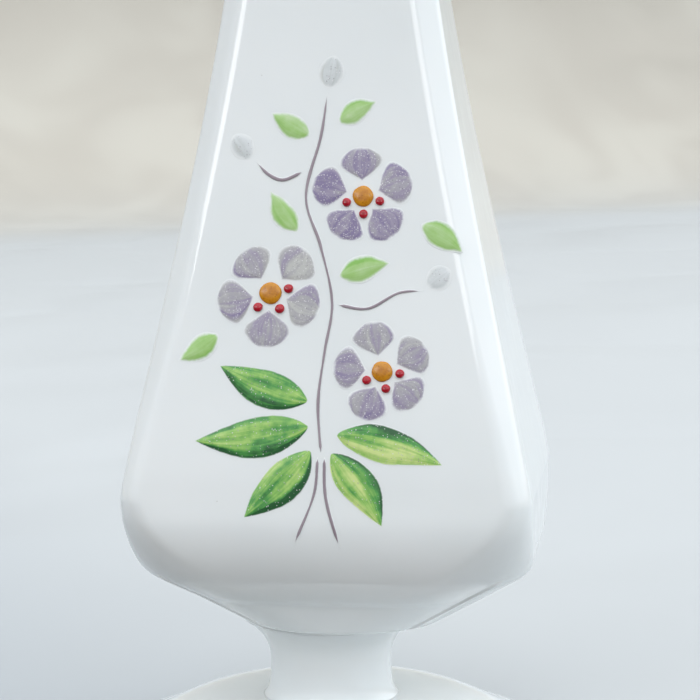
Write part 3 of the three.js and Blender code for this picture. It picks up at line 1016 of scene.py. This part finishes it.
def makeBlossom(blossom):
    name, x, y = blossom["name"], blossom["x"], blossom["y"]
    reach = blossom["size"] / 2
    inner = reach * petals["inner"]
    forms = petals["forms"]
    pitch = 360 / len(forms)
    for i in range(len(forms)):
        longer, wider, turn, bend = forms[(i + blossom["firstForm"]) % len(forms)]
        angle = blossom["turn"] + turn + i * pitch
        a = math.radians(angle)
        length = (reach - inner) * longer
        stroke = {"x": x + inner * math.cos(a), "y": y + inner * math.sin(a), "angle": angle,
                  "length": length, "width": reach * petals["width"] * wider,
                  "bend": length * bend}
        toward = math.cos(math.radians(angle - petals["lightest"]))
        brushStroke(f"petal_{name}_{i + 1}", stroke, petalShape, petals["height"],
                    blossom["load"] + petals["lighter"] * toward, "petal_enamel")
    drop(f"bead_centre_{name}", x, y, reach * beads["amberRadius"], beads["amberHeight"],
         "amber_enamel", f"centre_{name}")
    place = reach * beads["rubyPlace"]
    for i in range(beads["perBlossom"]):
        a = math.radians(blossom["turn"] + (i + 2.5) * pitch)
        drop(f"bead_ruby_{name}_{i + 1}", x + place * math.cos(a), y + place * math.sin(a),
             reach * beads["rubyRadius"], beads["rubyHeight"], "ruby_enamel",
             f"ruby_dot_{name}_{i + 1}")


leafPaint = {
    "height": 0.2,
    "bend": 0.04,
    "load": 0.5,
    "largeLoad": 0.58,
    "sideLoad": 0.012,       # more of it to the right of the stalk, less to its left
}
strokeKeys = ("x", "y", "angle", "length", "width")
largeLeaves = [
    (-2.4, 27, 158, 17, 7),
    (-2.2, 22.5, 188, 20, 7.6),
    (-1.8, 18.2, 226, 17, 7),
    (1.8, 17.8, 305, 16, 6.6),
    (2.6, 21.1, 344, 19, 6.8),
]
smallLeaves = [
    (17.6, 59, -35, 9, 5),
    (-4.8, 57.6, 125, 9, 4.6),
    (-18.6, 39, 215, 8.5, 4.6),
    (2.8, 49.5, 15, 9.5, 5),
    (-2.8, 75, 150, 8.5, 4.6),
    (2.4, 77.4, 28, 8, 4.4),
]
budPaint = {"height": 0.17, "load": 0.6}
buds = {
    "bud_top": (0.5, 83.6, 80, 6, 4.8),
    "bud_left": (-13.6, 71, 130, 5.4, 4.4),
    "bud_right": (18.6, 47.6, 40, 5.2, 4.4),
}
stalks = {
    "stalk_main": [(0, 18), (-0.6, 27), (0.4, 36), (1.6, 45), (-0.6, 55), (-3.4, 64), (-0.8, 75),
                   (0.3, 82.8)],
    "stalk_tail_left": [(-0.5, 17), (-1.2, 10), (-4.8, 1)],
    "stalk_tail_right": [(0.6, 17), (1, 9.5), (3.6, 0.6)],
    "tendril_left": [(-4.2, 68.4), (-7.6, 67), (-10.4, 68), (-13, 70.6)],
    "tendril_right": [(2.7, 44.4), (8, 43.8), (13.4, 46.6), (18, 47)],
}


def makeLeaf(node, row, load, slot):
    leaf = dict(zip(strokeKeys, row))
    leaf["bend"] = leaf["length"] * leafPaint["bend"]
    brushStroke(node, leaf, leafShape, leafPaint["height"], load, slot)


def makeSpray():
    for blossom in blossoms:
        makeBlossom(blossom)
    for i, row in enumerate(largeLeaves, 1):
        load = leafPaint["largeLoad"] + leafPaint["sideLoad"] * row[0] * row[4] / 2
        makeLeaf(f"large_leaf_{i}", row, load, "dark_leaf_enamel")
    for i, row in enumerate(smallLeaves, 1):
        makeLeaf(f"small_leaf_{i}", row, leafPaint["load"], "light_leaf_enamel")
    for name, row in buds.items():
        brushStroke(name, dict(zip(strokeKeys, row)), budShape, budPaint["height"],
                    budPaint["load"], "bud_enamel")
    for name, points in stalks.items():
        linerStroke(name, points)


makeSpray()
print("spray painted and fired")


# Studio: a pale cloth over a table, turned up into a warm wall behind the vase. The table ends
# right in front of the vase, and the brown floor of the room lies below. Lengths in m.
studio = {
    "clothColour": "#c2c6c8",
    "paintedShadeColour": "#a9afb4",   # painted shade: the cloth drawn darker near the vase's left, as if less light fell there
    "wallColour": "#c3bfb6",
    "wallPatches": "#cbc8bf",    # where the plaster is paler
    "patchSize": 0.14,
    "creaseSize": 0.16,
    "creaseHeight": 0.014,
    "floorColour": "#54483c",
    "frontEdge": 0.046,
    "frontSlope": 0.6,       # how fast the table's edge runs forward on the vase's right
    "slopeStart": 0.02,
    "edgeRound": 0.015,
    "tableHeight": 0.75,
    "halfWidth": 1.6,
    "wallDistance": 1.35,
    "wallTurn": 34.0,        # degrees that the wall is turned about the vase
    "bend": 0.25,
    "wallHeight": 2.2,
    "fade": 0.16,            # over which the cloth's colour gives way to the wall's
}


def stageMesh(name, verts, faces, material):
    mesh = bpy.data.meshes.new(name)
    mesh.from_pydata(verts, [], faces)
    for face in mesh.polygons:
        face.use_smooth = True
    newObject(name, mesh, material)


def clothMaterial():
    material, tree = newMaterial("matt cloth and wall")
    place = addNode(tree, "TexCoord", {}).outputs["Object"]
    turn = math.radians(studio["wallTurn"])
    away = addNode(tree, "VectorMath", {
        0: place, 1: (-math.sin(turn), math.cos(turn), 0)}, operation="DOT_PRODUCT")
    far = studio["wallDistance"]
    onWall = addNode(tree, "MapRange", {
        "Value": away, "From Min": far - studio["fade"], "From Max": far + studio["fade"]},
        interpolation_type="SMOOTHSTEP")
    # painted shade: the cloth's colour darkens towards the vase's near left, in place of light
    # falling off there
    nearLeft = addNode(tree, "VectorMath", {
        0: place, 1: (-0.8, -0.6, 0)}, operation="DOT_PRODUCT")
    paintedShade = addNode(tree, "MapRange", {
        "Value": nearLeft, "From Min": -0.1, "From Max": 0.14}, interpolation_type="SMOOTHSTEP")
    plaster = addNode(tree, "TexNoise", {
        "Vector": place, "Scale": 1 / studio["patchSize"], "Detail": 1.5, "Distortion": 0.8})
    paler = addNode(tree, "MapRange", {
        "Value": plaster, "From Min": 0.4, "From Max": 0.65}, interpolation_type="SMOOTHSTEP")
    cloth, wall = (addNode(tree, "Mix", {0: much, 6: studio[plain],
                                         7: studio[other]}, data_type="RGBA")
                   for much, plain, other in ((paintedShade, "clothColour", "paintedShadeColour"),
                                              (paler, "wallColour", "wallPatches")))
    colour = addNode(tree, "Mix", {0: onWall, 6: cloth, 7: wall}, data_type="RGBA")

    # soft creases in the cloth
    creases = addNode(tree, "TexNoise", {
        "Vector": place, "Scale": 1 / studio["creaseSize"], "Detail": 1.5, "Roughness": 0.4,
        "Distortion": 0.6})
    folds = addNode(tree, "Bump", {"Height": creases, "Distance": studio["creaseHeight"]})
    shader = addNode(tree, "BsdfPrincipled", {
        "Base Color": colour, "Normal": folds, "Roughness": 0.9, "IOR": 1.3})
    addNode(tree, "OutputMaterial", {"Surface": shader})
    return material


def makeCloth():
    near, round_, far = studio["frontEdge"], studio["edgeRound"], studio["wallDistance"]
    bend, turn = studio["bend"], math.radians(studio["wallTurn"])
    # each point is its way back from the vase, its height and how far the wall's turn has come
    profile = [(-near, -studio["tableHeight"], 0)]
    for i in range(9):
        angle = i / 8 * math.pi / 2
        profile.append((-near + round_ * (1 - math.cos(angle)), round_ * (math.sin(angle) - 1), 0))
    for i in range(17):
        angle = i / 16 * math.pi / 2
        profile.append((far + bend * math.sin(angle), bend * (1 - math.cos(angle)), turn))
    profile.append((far + bend, studio["wallHeight"], turn))
    columns = (-studio["halfWidth"], studio["slopeStart"], studio["halfWidth"])
    verts = []
    for y, z, a in profile:
        for x in columns:
            forward = studio["frontSlope"] * max(0, x - columns[1]) if y < 0 else 0
            verts.append(Vector((x * math.cos(a) - y * math.sin(a),
                                 x * math.sin(a) + y * math.cos(a) - forward, z)))
    faces = gridFaces(len(profile), len(columns), False)
    stageMesh("cloth", verts, faces, clothMaterial())


def makeRoomFloor():
    material, tree = newMaterial("brown matt floor")
    shader = addNode(tree, "BsdfPrincipled", {
        "Roughness": 0.8, "Base Color": studio["floorColour"]})
    addNode(tree, "OutputMaterial", {"Surface": shader})
    wide, low = studio["halfWidth"] * 2, -studio["tableHeight"]
    verts = [(-wide, -wide, low), (wide, -wide, low), (wide, 0, low), (-wide, 0, low)]
    stageMesh("roomFloor", verts, [(0, 1, 2, 3)], material)


makeCloth()
makeRoomFloor()


# Lamps, soft rectangles. The first washes the wall. The two narrow ones stand beside the camera,
# are aimed at the vase, and draw the bright lines down its front corners.
lamps = [
    {"name": "wall wash", "azimuth": 180, "elevation": 62, "distance": 1.2, "width": 1.4,
     "height": 0.8, "tilt": 0, "watts": 2.2, "colour": "#fffaf2", "aim": (0.05, 1.4, 0.1)},
    {"name": "strip left", "azimuth": -35, "elevation": 20.5, "distance": 0.9, "width": 0.6,
     "height": 0.12, "tilt": -7, "watts": 1.2, "colour": "#ffffff", "aim": (0, 0, 0.1)},
    {"name": "strip right", "azimuth": 36, "elevation": 22, "distance": 0.9, "width": 0.6,
     "height": 0.12, "tilt": 7, "watts": 0.75, "colour": "#ffffff", "aim": (0, 0, 0.1)},
]
lampCentre = Vector((0, 0, 0.1))   # in the vase, the point that their distances start from


def placeLamps():
    for lamp in lamps:
        data = bpy.data.lights.new(lamp["name"], "AREA")
        data.shape = "RECTANGLE"
        data.size = lamp["width"]
        data.size_y = lamp["height"]
        data.energy = lamp["watts"]
        data.color = linear(lamp["colour"])[:3]
        out = direction(lamp["azimuth"], lamp["elevation"])
        light = bpy.data.objects.new(lamp["name"], data)
        light.location = lampCentre + out * lamp["distance"]
        toward = Vector(lamp["aim"]) - light.location
        light.rotation_mode = "QUATERNION"
        tilt = Quaternion((0, 0, 1), math.radians(lamp["tilt"]))
        light.rotation_quaternion = toward.to_track_quat("-Z", "Y") @ tilt
        light.visible_camera = False
        scene.collection.objects.link(light)


# The light of the room: an even base, and softly brighter towards its big windows.
room = {
    "colour": "#eef2f6",
    "lowColour": "#f3e2cc",  # light off the brown floor
    "backdrop": "#cfcbc3",   # what the camera sees where the wall ends
    "sill": (-0.1, 0.25),    # sine of the elevation over which the dim lower part of the room ends
    "base": 0.4,
    "windowFocus": 3.0,      # the higher, the narrower each window's glow
    "windows": [
        {"azimuth": 120, "elevation": 14, "strength": 2.35},
        {"azimuth": -75, "elevation": 25, "strength": 0.65},
        {"azimuth": 5, "elevation": 44, "strength": 1.1},
        {"azimuth": 0, "elevation": 90, "strength": 0.8},
    ],
}


def makeRoom():
    world = bpy.data.worlds.new("room")
    world.use_nodes = True
    tree = world.node_tree
    tree.nodes.clear()
    way = addNode(tree, "TexCoord", {}).outputs["Generated"]
    rise = addNode(tree, "SeparateXYZ", {"Vector": way}).outputs["Z"]
    sill = addNode(tree, "MapRange", {
        "Value": rise, "From Min": room["sill"][0], "From Max": room["sill"][1]},
        interpolation_type="SMOOTHSTEP")
    level = addNode(tree, "Math", {0: sill, 1: room["base"]}, operation="MULTIPLY")
    for window in room["windows"]:
        toward = direction(window["azimuth"], window["elevation"])
        facing = addNode(tree, "VectorMath", {0: way, 1: toward}, operation="DOT_PRODUCT")
        front = addNode(tree, "Math", {0: facing, 1: 0.0}, operation="MAXIMUM")
        lobe = addNode(tree, "Math", {0: front, 1: room["windowFocus"]}, operation="POWER")
        lobe = addNode(tree, "Math", {0: lobe, 1: sill}, operation="MULTIPLY")
        level = addNode(tree, "Math", {
            0: lobe, 1: window["strength"], 2: level}, operation="MULTIPLY_ADD")
    tint = addNode(tree, "Mix", {
        0: sill, 6: room["lowColour"], 7: room["colour"]}, data_type="RGBA")
    glow = addNode(tree, "Background", {"Color": tint, "Strength": level})
    plain = addNode(tree, "Background", {"Color": room["backdrop"]})
    camera_ = addNode(tree, "LightPath", {}).outputs["Is Camera Ray"]
    shown = addNode(tree, "MixShader", {0: camera_, 1: glow, 2: plain})
    addNode(tree, "OutputWorld", {"Surface": shown})
    scene.world = world


placeLamps()
makeRoom()
print("studio lit")
